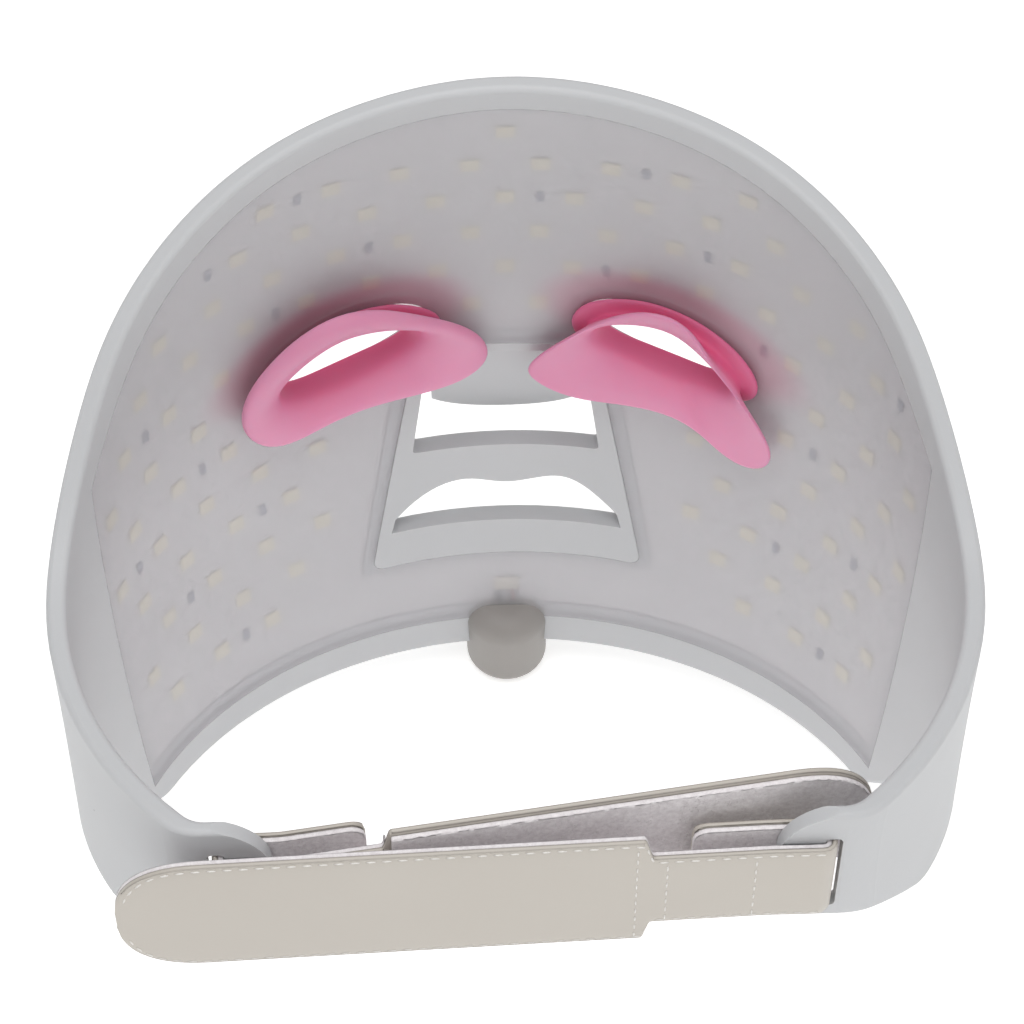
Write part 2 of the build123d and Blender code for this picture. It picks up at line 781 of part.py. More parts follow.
# ---------------------------------------------------------------- files
export_step(outer_shell.part, "parts/outer_shell.step")
export_step(inner_panel.part, "parts/inner_panel.step")
export_step(flex_board.part, "parts/flex_board.step")
export_step(led_chips.part, "parts/led_chips.step")
export_step(resistors.part, "parts/resistors.step")
export_step(board_connector.part, "parts/board_connector.step")
export_step(red_lead.part, "parts/red_lead.step")
export_step(black_lead.part, "parts/black_lead.step")
export_step(socket_housing.part, "parts/socket_housing.step")
export_step(socket_insert.part, "parts/socket_insert.step")
export_step(socket_contacts.part, "parts/socket_contacts.step")
export_step(left_eye_cup.part, "parts/left_eye_cup.step")
export_step(right_eye_cup.part, "parts/right_eye_cup.step")
export_step(outer_strap_anchor_cover.part, "parts/outer_strap_anchor_cover.step")
export_step(outer_strap_anchor_lining.part, "parts/outer_strap_anchor_lining.step")
export_step(inner_strap_anchor_cover.part, "parts/inner_strap_anchor_cover.step")
export_step(inner_strap_anchor_lining.part, "parts/inner_strap_anchor_lining.step")
export_step(outer_strap_cover.part, "parts/outer_strap_cover.step")
export_step(outer_strap_lining.part, "parts/outer_strap_lining.step")
export_step(outer_strap_fold_lining.part, "parts/outer_strap_fold_lining.step")
export_step(outer_strap_fold_cover.part, "parts/outer_strap_fold_cover.step")
export_step(inner_strap_cover.part, "parts/inner_strap_cover.step")
export_step(inner_strap_lining.part, "parts/inner_strap_lining.step")
export_step(inner_strap_loop.part, "parts/inner_strap_loop.step")
export_step(inner_strap_fold_lining.part, "parts/inner_strap_fold_lining.step")
export_step(inner_strap_fold_cover.part, "parts/inner_strap_fold_cover.step")
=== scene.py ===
import bisect
import json
import math
import random

import bmesh
import bpy
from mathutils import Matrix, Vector, noise
from mathutils.bvhtree import BVHTree


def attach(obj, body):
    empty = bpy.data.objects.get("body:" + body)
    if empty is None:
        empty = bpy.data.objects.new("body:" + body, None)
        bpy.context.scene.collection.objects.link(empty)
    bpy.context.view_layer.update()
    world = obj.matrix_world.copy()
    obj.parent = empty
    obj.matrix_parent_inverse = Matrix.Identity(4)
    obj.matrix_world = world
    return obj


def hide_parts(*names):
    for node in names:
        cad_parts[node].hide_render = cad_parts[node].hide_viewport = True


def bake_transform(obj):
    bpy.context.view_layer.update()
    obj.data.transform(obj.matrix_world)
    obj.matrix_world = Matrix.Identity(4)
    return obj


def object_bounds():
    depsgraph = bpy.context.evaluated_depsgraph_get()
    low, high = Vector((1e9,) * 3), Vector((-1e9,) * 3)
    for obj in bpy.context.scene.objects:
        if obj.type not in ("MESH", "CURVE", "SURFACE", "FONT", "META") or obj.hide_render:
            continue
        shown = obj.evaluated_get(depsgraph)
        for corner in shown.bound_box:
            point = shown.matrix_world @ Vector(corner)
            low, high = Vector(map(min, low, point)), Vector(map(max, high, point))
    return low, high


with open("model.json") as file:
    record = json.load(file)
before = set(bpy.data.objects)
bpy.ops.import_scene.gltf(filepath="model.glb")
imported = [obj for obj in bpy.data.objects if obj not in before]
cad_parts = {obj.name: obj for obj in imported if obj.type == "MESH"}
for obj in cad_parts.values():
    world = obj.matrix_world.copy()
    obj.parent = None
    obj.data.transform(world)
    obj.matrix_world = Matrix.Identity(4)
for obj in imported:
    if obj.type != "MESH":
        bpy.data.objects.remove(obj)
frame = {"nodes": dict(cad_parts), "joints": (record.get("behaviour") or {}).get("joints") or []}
cadLow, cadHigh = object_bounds()
nodes = frame["nodes"]
joints = {joint["name"]: joint for joint in frame["joints"]}
scene = bpy.context.scene
mm = 0.001
print("frame loaded:", len(nodes), "nodes")


def linear(hexColour):
    # sRGB hex to the linear colour that the shaders use
    channels = [int(hexColour[i:i + 2], 16) / 255 for i in (1, 3, 5)]
    return tuple(c / 12.92 if c <= 0.04045 else ((c + 0.055) / 1.055) ** 2.4 for c in channels) + (1.0,)


def addNode(tree, kind, settings=None, links=None):
    node = tree.nodes.new(kind)
    for name, value in (settings or {}).items():
        if isinstance(name, str) and hasattr(node, name):
            setattr(node, name, value)
        else:
            node.inputs[name].default_value = value
    for name, source in (links or {}).items():
        tree.links.new(source, node.inputs[name])
    return node


def perMetre(sizeMm):
    # noise scale for features of a size in millimetres, as Object coordinates are in metres
    return 1000 / sizeMm


def newMaterial(name):
    material = bpy.data.materials.new(name)
    material.use_nodes = True
    tree = material.node_tree
    tree.nodes.clear()
    output = addNode(tree, "ShaderNodeOutputMaterial")
    place = addNode(tree, "ShaderNodeTexCoord")
    return material, tree, output, place.outputs["Object"]


def dress(piece, material):
    piece.data.materials.clear()
    piece.data.materials.append(material)


def finishPiece(bm, name, material, subdivide=0):
    # A bmesh in millimetres becomes a finished object at the origin, in metres
    bmesh.ops.scale(bm, vec=(mm, mm, mm), verts=bm.verts)
    bmesh.ops.recalc_face_normals(bm, faces=bm.faces)
    mesh = bpy.data.meshes.new(name)
    bm.to_mesh(mesh)
    bm.free()
    for polygon in mesh.polygons:
        polygon.use_smooth = True
    piece = bpy.data.objects.new(name, mesh)
    scene.collection.objects.link(piece)
    mesh.materials.append(material)
    if subdivide:
        smooth = piece.modifiers.new("smooth", "SUBSURF")
        smooth.levels = subdivide
        smooth.render_levels = subdivide
    return piece


def mixColours(tree, factor, first, second):
    mix = addNode(tree, "ShaderNodeMix", {"data_type": "RGBA"}, {0: factor})
    for index, colour in ((6, first), (7, second)):
        if isinstance(colour, str):
            mix.inputs[index].default_value = linear(colour)
        else:
            tree.links.new(colour, mix.inputs[index])
    return mix.outputs[2]


def closeToEyes(tree, place, look):
    # The look's share beside the eye openings, falling to 0 a little way off. Left and right are folded
    # together, as the part is symmetric.
    split = addNode(tree, "ShaderNodeSeparateXYZ", {}, {"Vector": place})
    sideways = addNode(tree, "ShaderNodeMath", {"operation": "ABSOLUTE"}, {0: split.outputs["X"]})
    folded = addNode(tree, "ShaderNodeCombineXYZ", {}, {"X": sideways.outputs[0], "Z": split.outputs["Z"]})
    local = addNode(tree, "ShaderNodeMapping", {"vector_type": "TEXTURE", "Location": look["eye"],
                                                "Rotation": (0, look["turn"], 0), "Scale": look["reach"]},
                    {"Vector": folded.outputs["Vector"]})
    away = addNode(tree, "ShaderNodeVectorMath", {"operation": "LENGTH"}, {0: local.outputs["Vector"]})
    near = addNode(tree, "ShaderNodeMapRange",
                   {"From Min": 1.0, "From Max": look["fade"], "To Min": look["share"], "To Max": 0.0,
                    "interpolation_type": "SMOOTHSTEP"},
                   {"Value": away.outputs["Value"]})
    return near.outputs["Result"]


def mouldedSilicone(name, look):
    # liquid silicone rubber from a blasted mould: soft satin sheen, light sinks a little way in
    material, tree, output, place = newMaterial(name)
    # slow change of thickness and pigment across the moulding
    clouds = addNode(tree, "ShaderNodeTexNoise", {"Scale": perMetre(look["cloudMm"]), "Detail": 3.0},
                     {"Vector": place})
    colour = mixColours(tree, clouds.outputs["Fac"], look["light"], look["dark"])
    if "paintedCupGlow" in look:
        # painted light: a pink glow round the eye openings, standing in for the light that the pink cups
        # pass and throw onto the milky rubber round them
        colour = mixColours(tree, closeToEyes(tree, place, look["paintedCupGlow"]), colour, look["paintedCupGlow"]["colour"])
    if "paintedBounceTint" in look:
        # painted bounce light and shade: a deeper, redder pink towards the base of the moulding and in its
        # narrow folds, standing in for light that has bounced there and gone through several walls
        base = addNode(tree, "ShaderNodeAttribute", {"attribute_name": "paintedBounceTintShare"})
        colour = mixColours(tree, base.outputs["Fac"], colour, look["paintedBounceTint"])
    # a few grains of dust caught on the tacky surface
    grains = addNode(tree, "ShaderNodeTexVoronoi", {"Scale": perMetre(look["dustMm"])}, {"Vector": place})
    speck = addNode(tree, "ShaderNodeMath", {"operation": "LESS_THAN", 1: look["dustSize"]},
                    {0: grains.outputs["Distance"]})
    chance = addNode(tree, "ShaderNodeSeparateColor", {}, {"Color": grains.outputs["Color"]})
    rare = addNode(tree, "ShaderNodeMath", {"operation": "LESS_THAN", 1: look["dustShare"]},
                   {0: chance.outputs["Red"]})
    dusty = addNode(tree, "ShaderNodeMath", {"operation": "MULTIPLY"},
                    {0: speck.outputs[0], 1: rare.outputs[0]})
    colour = mixColours(tree, dusty.outputs[0], colour, look["dust"])
    # tool texture: fine blasted mould steel, drawn a little coarser than life so that it shows
    blast = addNode(tree, "ShaderNodeTexNoise", {"Scale": perMetre(look["blastMm"]), "Detail": 4.0},
                    {"Vector": place})
    bump = addNode(tree, "ShaderNodeBump", {"Strength": look["bump"], "Distance": 0.0001},
                   {"Height": blast.outputs["Fac"]})
    rough = addNode(tree, "ShaderNodeMapRange",
                    {"To Min": look["roughness"] - 0.06, "To Max": look["roughness"] + 0.08},
                    {"Value": clouds.outputs["Fac"]})
    skin = addNode(tree, "ShaderNodeBsdfPrincipled",
                   {"IOR": 1.41, "Subsurface Weight": look["depth"], "Subsurface Radius": look["radius"],
                    "Subsurface Scale": look["scatterMm"] * mm, "Alpha": look.get("alpha", 1.0)},
                   {"Base Color": colour, "Roughness": rough.outputs["Result"],
                    "Normal": bump.outputs["Normal"]})
    tree.links.new(skin.outputs["BSDF"], output.inputs["Surface"])
    return material


shellLook = {"light": "#CCCDCF", "dark": "#C6C7C9", "cloudMm": 55, "roughness": 0.50, "blastMm": 0.7,
             "bump": 0.25, "depth": 0.25, "radius": (1.0, 0.9, 0.85), "scatterMm": 1.5,
             "dust": "#4A4A50", "dustMm": 9, "dustSize": 0.028, "dustShare": 0.10}
panelLook = {"light": "#E4E3E6", "dark": "#DEDCE0", "cloudMm": 30, "roughness": 0.42, "blastMm": 0.9,
             "bump": 0.18, "depth": 0.2, "radius": (1.0, 0.85, 0.9), "scatterMm": 1.5, "alpha": 0.34,
             "dust": "#8A868E", "dustMm": 12, "dustSize": 0.02, "dustShare": 0.06,
             # painted light: a pink glow round the eye openings, standing in for light from the pink cups
             "paintedCupGlow": {"eye": (0.0375, 0, 0.0035), "turn": math.radians(13), "reach": (0.0225, 1, 0.0115),
                      "fade": 1.5, "share": 0.5, "colour": "#E58CAC"}}
housingLook = {"light": "#A5A19D", "dark": "#9C9894", "cloudMm": 20, "roughness": 0.46, "blastMm": 0.7,
               "bump": 0.2, "depth": 0.2, "radius": (1.0, 0.9, 0.8), "scatterMm": 1.2,
               "dust": "#807C7A", "dustMm": 12, "dustSize": 0.02, "dustShare": 0.04}
cupLook = {"light": "#EAA0C0", "dark": "#E697BA", "cloudMm": 18, "roughness": 0.44, "blastMm": 0.6,
           "bump": 0.15, "depth": 0.4, "radius": (1.0, 0.30, 0.42), "scatterMm": 2.5,
           # painted bounce light and shade: the deeper, redder pink painted at the base of the cup
           "dust": "#D86A98", "dustMm": 14, "dustSize": 0.02, "dustShare": 0.03, "paintedBounceTint": "#E4588A"}
shellSilicone = mouldedSilicone("moulded silicone, pale grey", shellLook)
panelSilicone = mouldedSilicone("moulded silicone, milky", panelLook)
housingSilicone = mouldedSilicone("moulded silicone, warm grey", housingLook)
cupSilicone = mouldedSilicone("moulded silicone, pink", cupLook)


def plainFinish(name, look):
    # a moulded or plated part: one colour with a slight mottle, and a fine surface
    material, tree, output, place = newMaterial(name)
    mottle = addNode(tree, "ShaderNodeTexNoise", {"Scale": perMetre(look["mottleMm"]), "Detail": 2.0},
                     {"Vector": place})
    colour = mixColours(tree, mottle.outputs["Fac"], look["light"], look["dark"])
    bump = addNode(tree, "ShaderNodeBump", {"Strength": look["bump"], "Distance": 0.00005},
                   {"Height": mottle.outputs["Fac"]})
    skin = addNode(tree, "ShaderNodeBsdfPrincipled",
                   {"Roughness": look["roughness"], "Metallic": look.get("metal", 0.0), "IOR": 1.5},
                   {"Base Color": colour, "Normal": bump.outputs["Normal"]})
    tree.links.new(skin.outputs["BSDF"], output.inputs["Surface"])
    return material


finishes = {
    "flex_board": ("polyimide flex board, white solder mask",
     {"light": "#E4E2E3", "dark": "#DCDADB", "mottleMm": 6, "roughness": 0.5, "bump": 0.1}),
    "led_chips": ("LED package, silicone over white PPA",
     {"light": "#F8F3DC", "dark": "#F2E6C0", "mottleMm": 2.5, "roughness": 0.3, "bump": 0.2}),
    "resistors": ("ceramic chip resistor, glazed",
     {"light": "#8C90A2", "dark": "#7F8497", "mottleMm": 1.0, "roughness": 0.35, "bump": 0.1}),
    "board_connector": ("nylon wire connector, moulded",
     {"light": "#E6E0D2", "dark": "#DDD6C6", "mottleMm": 1.5, "roughness": 0.45, "bump": 0.2}),
    "red_lead": ("PVC wire covering, red, extruded",
     {"light": "#B5312C", "dark": "#A32823", "mottleMm": 1.0, "roughness": 0.4, "bump": 0.1}),
    "black_lead": ("PVC wire covering, black, extruded",
     {"light": "#2B2B2D", "dark": "#222224", "mottleMm": 1.0, "roughness": 0.4, "bump": 0.1}),
    "socket_insert": ("ABS socket, moulded black",
     {"light": "#303033", "dark": "#29292B", "mottleMm": 1.2, "roughness": 0.4, "bump": 0.3}),
    "socket_contacts": ("brass contact, nickel flash",
     {"light": "#D8C07A", "dark": "#C9AE66", "mottleMm": 0.8, "roughness": 0.25, "bump": 0.1,
      "metal": 1.0}),
}
for node, (finishName, look) in finishes.items():
    dress(nodes[node], plainFinish(finishName, look))
dress(nodes["outer_shell"], shellSilicone)
dress(nodes["inner_panel"], panelSilicone)
dress(nodes["socket_housing"], housingSilicone)
print("frame dressed")


# Each eye cup is a flange on the panel, a neck through the wall, and a thin flared lip
eyeCup = {
    "out": 37.0, "low": 1.5, "tilt": -15.0,
    "hole": (18.4, 7.6), "neck": (19.9, 8.9), "flange": (24.2, 12.6),
    # each soft lip's outline on its eye's own plane, (out, up) from the middle of the hole
    "left": {"curl": 1.0,
             "lip": ((25, 6), (28, -2), (27.5, -10), (22.5, -17), (15.5, -17.5), (7, -14), (-3, -12.5),
                     (-14, -13.5), (-24.5, -14), (-31, -11), (-33, -6), (-30.5, 1), (-24.5, 7.5),
                     (-15, 14.5), (-6, 20.5), (3.5, 22.5), (12.5, 19), (19.5, 13))},
    "right": {"curl": 0.1,
              "lip": ((14, 3.5), (18, -2), (22, -8), (25.5, -14), (28.5, -20.5), (28, -26), (23.5, -29),
                      (17, -26), (11.5, -20), (6, -16.5), (-1, -15.5), (-9, -16.5), (-18, -18.5), (-25, -18),
                      (-31, -15), (-31.5, -11), (-27, -4), (-21.5, 2.5), (-16, 9), (-10, 14.5), (-4, 18),
                      (2.5, 18.5), (7.5, 15), (11, 9))},
    "lipDepth": 8.4, "shellWall": 4.3, "headHalfWidth": 95.0, "headHalfDepth": 81.0,
}


def ellipseReach(direction, size, tilt):
    turn = direction - math.radians(tilt)
    along, across = size
    return along * across / math.hypot(across * math.cos(turn), along * math.sin(turn))


def buildEyeCup(side, look):
    name = "left" if side > 0 else "right"
    facing = Vector(joints[f"{name}_eye_cup_pull"]["axis"])
    outward = Vector((side * facing.y, -side * facing.x, 0))
    panelSurface = BVHTree.FromObject(nodes["inner_panel"], bpy.context.evaluated_depsgraph_get())
    # the hole's middle is on the panel, which follows an ellipse round the head
    back = look["headHalfDepth"] * (1 - math.sqrt(1 - (look["out"] / look["headHalfWidth"]) ** 2))
    centre = Vector((side * look["out"], back, -look["low"]))

    lip = [Vector(point) for point in look[name]["lip"]]
    directions = [math.atan2(spot.y, spot.x) for spot in lip]
    # the lip rolls back towards the mask above the eye more than below it
    curl = [look[name]["curl"] * (0.75 + 0.55 * math.sin(turn)) for turn in directions]

    def place(spot, depth):
        return centre + outward * spot.x + Vector((0, 0, spot.y)) + facing * depth

    def ring(size):
        return [Vector((math.cos(a), math.sin(a))) * ellipseReach(a, size, look["tilt"]) for a in directions]

    def wallDepth(spot):
        start = place(spot, 30) * mm
        hit = panelSurface.ray_cast(start, -facing)[0]
        return 0.0 if hit is None else (hit / mm - centre).dot(facing)

    hole, neck, flange = ring(look["hole"]), ring(look["neck"]), ring(look["flange"])
    wall = [wallDepth(spot * 1.03) for spot in flange]
    depth = look["lipDepth"]

    def blendRings(first, second, share):
        return [a.lerp(b, share) for a, b in zip(first, second)]

    # outline, depth at each point and share of the painted deeper pink of bounce light and shade, from the
    # front of the hole, round the lip and back
    rings = [
        (hole, [w - look["shellWall"] for w in wall], 0.8),
        (hole, [w * 0.5 + 1.5 for w in wall], 0.5),
        (blendRings(hole, lip, 0.04), [w * 0.5 + 3.6 for w in wall], 0.28),
        (blendRings(hole, lip, 0.20), [w * 0.4 + 5.4 + 0.6 * c for w, c in zip(wall, curl)], 0.14),
        (blendRings(hole, lip, 0.44), [w * 0.2 + 6.9 + 1.3 * c for w, c in zip(wall, curl)], 0.06),
        (blendRings(hole, lip, 0.66), [depth - 0.5 + 2.0 * c for c in curl], 0.0),
        (blendRings(hole, lip, 0.84), [depth - 0.1 + 1.6 * c for c in curl], 0.0),
        (blendRings(hole, lip, 0.95), [depth + 0.2 + 0.6 * c for c in curl], 0.0),
        (lip, [depth - 0.2] * len(lip), 0.0),
        (blendRings(hole, lip, 0.98), [depth - 0.9] * len(lip), 0.05),
        (blendRings(neck, lip, 0.86), [depth - 1.3 + 0.7 * c for c in curl], 0.2),
        (blendRings(neck, lip, 0.60), [w * 0.2 + 5.9 + 1.3 * c for w, c in zip(wall, curl)], 0.5),
        (blendRings(neck, lip, 0.26), [w * 0.4 + 4.4 + 0.8 * c for w, c in zip(wall, curl)], 0.8),
        (blendRings(neck, flange, 0.08), [w * 0.7 + 2.8 for w in wall], 0.9),
        (blendRings(neck, flange, 0.30), [w + 1.6 for w in wall], 0.8),
        (blendRings(neck, flange, 0.85), [w + 1.45 for w in wall], 0.65),
        (flange, [w + 0.8 for w in wall], 0.7),
        (blendRings(neck, flange, 0.88), [w + 0.2 for w in wall], 0.9),
        (neck, [w + 0.2 for w in wall], 1.0),
        (neck, [w - look["shellWall"] for w in wall], 1.0),
    ]
    bm = bmesh.new()
    # painted bounce light and shade: each vertex carries how much of the deeper pink is painted on
    paintedBounceTintShare = bm.verts.layers.float.new("paintedBounceTintShare")
    loops = []
    for outline, depths, paintedBounceTint in rings:
        made = bmesh.ops.create_circle(bm, segments=len(lip), radius=1.0)["verts"]
        for vertex, spot, away in zip(made, outline, depths):
            vertex.co = place(spot, away)
            vertex[paintedBounceTintShare] = paintedBounceTint
        loops.append([edge for edge in bm.edges if edge.verts[0] in made and edge.verts[1] in made])
    for first, second in zip(loops, loops[1:] + loops[:1]):
        bmesh.ops.bridge_loops(bm, edges=first + second)
    cup = finishPiece(bm, f"{name}_cup_gasket", cupSilicone, subdivide=2)
    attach(cup, f"{name}_cup")
    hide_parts(f"{name}_eye_cup")


for side in (1, -1):
    buildEyeCup(side, eyeCup)
print("eye cups made")


def syntheticLeather(name, look):
    # polyurethane-coated fabric, embossed: a fine pebble grain, a low even gloss
    material, tree, output, place = newMaterial(name)
    tone = addNode(tree, "ShaderNodeTexNoise", {"Scale": perMetre(look["toneMm"]), "Detail": 2.0},
                   {"Vector": place})
    colour = mixColours(tree, tone.outputs["Fac"], look["light"], look["dark"])
    pebble = addNode(tree, "ShaderNodeTexVoronoi",
                     {"Scale": perMetre(look["grainMm"]), "feature": "SMOOTH_F1"}, {"Vector": place})
    fine = addNode(tree, "ShaderNodeTexNoise", {"Scale": perMetre(look["creaseMm"]), "Detail": 4.0},
                   {"Vector": place})
    height = addNode(tree, "ShaderNodeMath", {"operation": "ADD"},
                     {0: pebble.outputs["Distance"], 1: fine.outputs["Fac"]})
    bump = addNode(tree, "ShaderNodeBump", {"Strength": look["bump"], "Distance": 0.0001},
                   {"Height": height.outputs[0]})
    skin = addNode(tree, "ShaderNodeBsdfPrincipled",
                   {"Roughness": look["roughness"], "IOR": 1.47, "Coat Weight": 0.12,
                    "Coat Roughness": 0.35},
                   {"Base Color": colour, "Normal": bump.outputs["Normal"]})
    tree.links.new(skin.outputs["BSDF"], output.inputs["Surface"])
    return material


def brushedLoop(name, look):
    # brushed nylon loop for a hook fastener: matte, soft, with bright and dark tufts
    material, tree, output, place = newMaterial(name)
    tufts = addNode(tree, "ShaderNodeTexNoise",
                    {"Scale": perMetre(look["tuftMm"]), "Detail": 5.0, "Roughness": 0.7}, {"Vector": place})
    share = addNode(tree, "ShaderNodeMapRange", {"From Min": 0.35, "From Max": 0.65},
                    {"Value": tufts.outputs["Fac"]})
    colour = mixColours(tree, share.outputs["Result"], look["dark"], look["light"])
    bump = addNode(tree, "ShaderNodeBump", {"Strength": look["bump"], "Distance": 0.0004},
                   {"Height": tufts.outputs["Fac"]})
    skin = addNode(tree, "ShaderNodeBsdfPrincipled",
                   {"Roughness": 0.95, "IOR": 1.5, "Sheen Weight": 0.5, "Sheen Roughness": 0.4},
                   {"Base Color": colour, "Normal": bump.outputs["Normal"]})
    tree.links.new(skin.outputs["BSDF"], output.inputs["Surface"])
    return material


def sewingThread(name, look):
    # filament polyester thread: smooth and slightly shiny, with the twist of its plies
    material, tree, output, place = newMaterial(name)
    twist = addNode(tree, "ShaderNodeTexNoise", {"Scale": perMetre(look["twistMm"]), "Detail": 1.0},
                    {"Vector": place})
    colour = mixColours(tree, twist.outputs["Fac"], look["light"], look["dark"])
    bump = addNode(tree, "ShaderNodeBump", {"Strength": 0.4, "Distance": 0.0001},
                   {"Height": twist.outputs["Fac"]})
    skin = addNode(tree, "ShaderNodeBsdfPrincipled",
                   {"Roughness": 0.3, "IOR": 1.55, "Sheen Weight": 0.2},
                   {"Base Color": colour, "Normal": bump.outputs["Normal"]})
    tree.links.new(skin.outputs["BSDF"], output.inputs["Surface"])
    return material


strapLeather = syntheticLeather("PU synthetic leather, embossed", {
    "light": "#C6C0B7", "dark": "#C0B9B0", "toneMm": 45, "grainMm": 0.9, "creaseMm": 0.35, "bump": 0.22,
    "roughness": 0.42})
strapPile = brushedLoop("brushed nylon loop", {
    "light": "#FAF6F7", "dark": "#E4DEE0", "tuftMm": 1.1, "bump": 0.3})
strapThread = sewingThread("polyester sewing thread, white", {
    "light": "#F4F2EE", "dark": "#DEDAD4", "twistMm": 0.3})


# The straps are made as flat patterns, then folded round the tab along a path
tabGeometry = {
    "end": 51.59, "bar": 9.5, "inside": 138.77, "wall": 3.2, "fit": 0.3, "lining": 1.2, "cover": 1.2,
    "middle": -11.5, "beyond": 1.6, "cornerRound": 1.8,
}
strapPatterns = {
    "outer_strap": {"side": -1, "lean": 2.0, "narrowRun": 25.0, "run": 134.0, "foldRun": 15.5,
                    "stitchRun": 134.0, "seams": (3.0, 21.2, 27.4)},
    "inner_strap": {"side": 1, "lean": -8.0, "narrowRun": 22.0, "run": 124.0, "foldRun": 18.5,
                    "stitchRun": 21.0, "seams": (3.0, 18.6)},
}
strapShape = {"narrow": 12.5, "wide": 19.0, "shoulder": 1.0, "tipPower": 2.5, "foldRound": 3.6,
              "stitch": 2.3, "stitchGap": 0.9, "stitchThick": 0.30, "stitchInset": 1.15}


def strapPath(pattern, tab):
    # Corner points of the strap's mid line seen from above, from the folded end round the bar to the tip,
    # with the corners at the bar rounded, then the distance along to each and the hinge's distance
    grow = tab["fit"] + tab["lining"]
    outside = tab["inside"] + tab["wall"] + grow
    inside = tab["inside"] - grow
    barEnd = tab["end"] + tab["bar"] + grow
    hinge = Vector((tab["end"] - tab["beyond"], outside))
    lean = math.radians(pattern["lean"])
    along = Vector((-math.cos(lean), math.sin(lean)))
    across = Vector((math.sin(lean), math.cos(lean)))
    foldDeep = outside - inside
    bend = tab["cornerRound"]
    points = [hinge + along * pattern["foldRun"] - across * foldDeep,
              hinge + along * 1.5 - across * foldDeep,
              Vector((tab["end"] + 1.0, inside)),
              Vector((barEnd - bend, inside))]
    for height, start in ((inside + bend, -90), (outside - bend, 0)):
        for step in range(1, 7):
            turn = math.radians(start + 15 * step)
            corner = Vector((math.cos(turn), math.sin(turn))) * bend
            points.append(Vector((barEnd - bend, height)) + corner)
    points += [hinge, hinge + along * pattern["run"]]
    distances = [0.0]
    for first, second in zip(points, points[1:]):
        distances.append(distances[-1] + (second - first).length)
    return points, distances, distances[-2]


def walkPath(points, distances, distance):
    # Position and outward direction at a distance along the path, turning smoothly through each corner
    index = 0
    while index < len(points) - 2 and distance > distances[index + 1]:
        index += 1
    span = distances[index + 1] - distances[index]
    share = (distance - distances[index]) / span
    heading = (points[index + 1] - points[index]).normalized()
    ease = min(1.2, span * 0.5) / span
    turned = heading
    if share < ease and index > 0:
        turned = ((points[index] - points[index - 1]).normalized()).lerp(heading, 0.5 + 0.5 * share / ease)
    elif share > 1 - ease and index < len(points) - 2:
        after = (points[index + 2] - points[index + 1]).normalized()
        turned = heading.lerp(after, 0.5 * (1 - (1 - share) / ease))
    turned.normalize()
    return points[index].lerp(points[index + 1], share), Vector((turned.y, -turned.x))


def foldAlong(bm, pattern, tab, path):
    # Flat pattern (x along, y up, z out of the cover) to its place on the mask
    points, distances = path[:2]
    for vertex in bm.verts:
        spot, out = walkPath(points, distances, vertex.co.x)
        spot = spot + out * vertex.co.z
        vertex.co = (pattern["side"] * spot.x, spot.y, tab["middle"] + vertex.co.y)


def halfWidth(run, pattern, shape):
    # Half the strap's width at a distance from its hinge
    length = pattern["run"]
    if run < pattern["narrowRun"] - shape["shoulder"]:
        return shape["narrow"]
    if run < pattern["narrowRun"] + shape["shoulder"]:
        share = (run - pattern["narrowRun"] + shape["shoulder"]) / (2 * shape["shoulder"])
        return shape["narrow"] + (shape["wide"] - shape["narrow"]) * share * share * (3 - 2 * share)
    roundStart = length - shape["wide"]
    if run < roundStart:
        return shape["wide"]
    share = min((run - roundStart) / shape["wide"], 1.0)
    return shape["wide"] * (1 - share ** shape["tipPower"]) ** (1 / shape["tipPower"])


def stations(start, stop, pattern, shape, hinge):
    # Where the columns of a layer stand: close together where the outline turns
    places = []
    distance = start
    while distance < stop - 0.4:
        places.append(distance)
        run = distance - hinge
        nearShoulder = abs(run - pattern["narrowRun"]) < shape["shoulder"] + 0.8
        nearFold = distance < 3
        left = pattern["run"] - run
        step = 0.4 if nearShoulder or nearFold else 1.1
        if left < shape["wide"] * 0.55:
            step = max(0.12, left * 0.13)
        distance += step
    places.append(stop)
    return places


def strapLayer(name, pattern, tab, shape, path, low, high, inset, start, stop, material,
               rough=0.0, crown=0.0):
    # One layer of the strap: a grid takes the outline, gets its thickness and round edges, then is folded
    hinge = path[2]
    places = stations(start, stop, pattern, shape, hinge)
    rows = 22
    bm = bmesh.new()
    bmesh.ops.create_grid(bm, x_segments=len(places) - 1, y_segments=rows, size=1.0)
    ordered = sorted({round(vertex.co.x, 5) for vertex in bm.verts})
    column = {value: place for value, place in zip(ordered, places)}
    for vertex in bm.verts:
        along = column[round(vertex.co.x, 5)]
        half = halfWidth(along - hinge, pattern, shape) - inset
        if start == 0.0 and along < shape["foldRound"]:
            left = 1 - along / shape["foldRound"]
            half -= shape["foldRound"] * (1 - math.sqrt(max(0.0, 1 - left * left)))
        # rows crowd towards the edges, where the strap is thinnest
        row = math.sin(vertex.co.y * math.pi / 2)
        vertex.co = (along, row * max(half, 0.15), low)
    raised = bmesh.ops.extrude_face_region(bm, geom=bm.faces[:] + bm.edges[:] + bm.verts[:])
    top = [item for item in raised["geom"] if isinstance(item, bmesh.types.BMVert)]
    for vertex in top:
        half = max(halfWidth(vertex.co.x - hinge, pattern, shape) - inset, 0.2)
        edgeRoom = min(half - abs(vertex.co.y), stop - vertex.co.x if stop > hinge + 60 else 99)
        thin = crown * max(0.0, 1 - max(edgeRoom, 0.0) / 2.4) ** 2
        lump = rough * noise.noise(vertex.co * 0.9)
        vertex.co.z = high - thin + lump
    bmesh.ops.recalc_face_normals(bm, faces=bm.faces)
    corners = [edge for edge in bm.edges if len(edge.link_faces) == 2 and edge.calc_face_angle() > 1.0]
    bmesh.ops.bevel(bm, geom=corners, offset=min(0.38, (high - low) * 0.32), affect="EDGES", segments=3,
                    profile=0.5, material=-1)
    foldAlong(bm, pattern, tab, path)
    return finishPiece(bm, name, material)


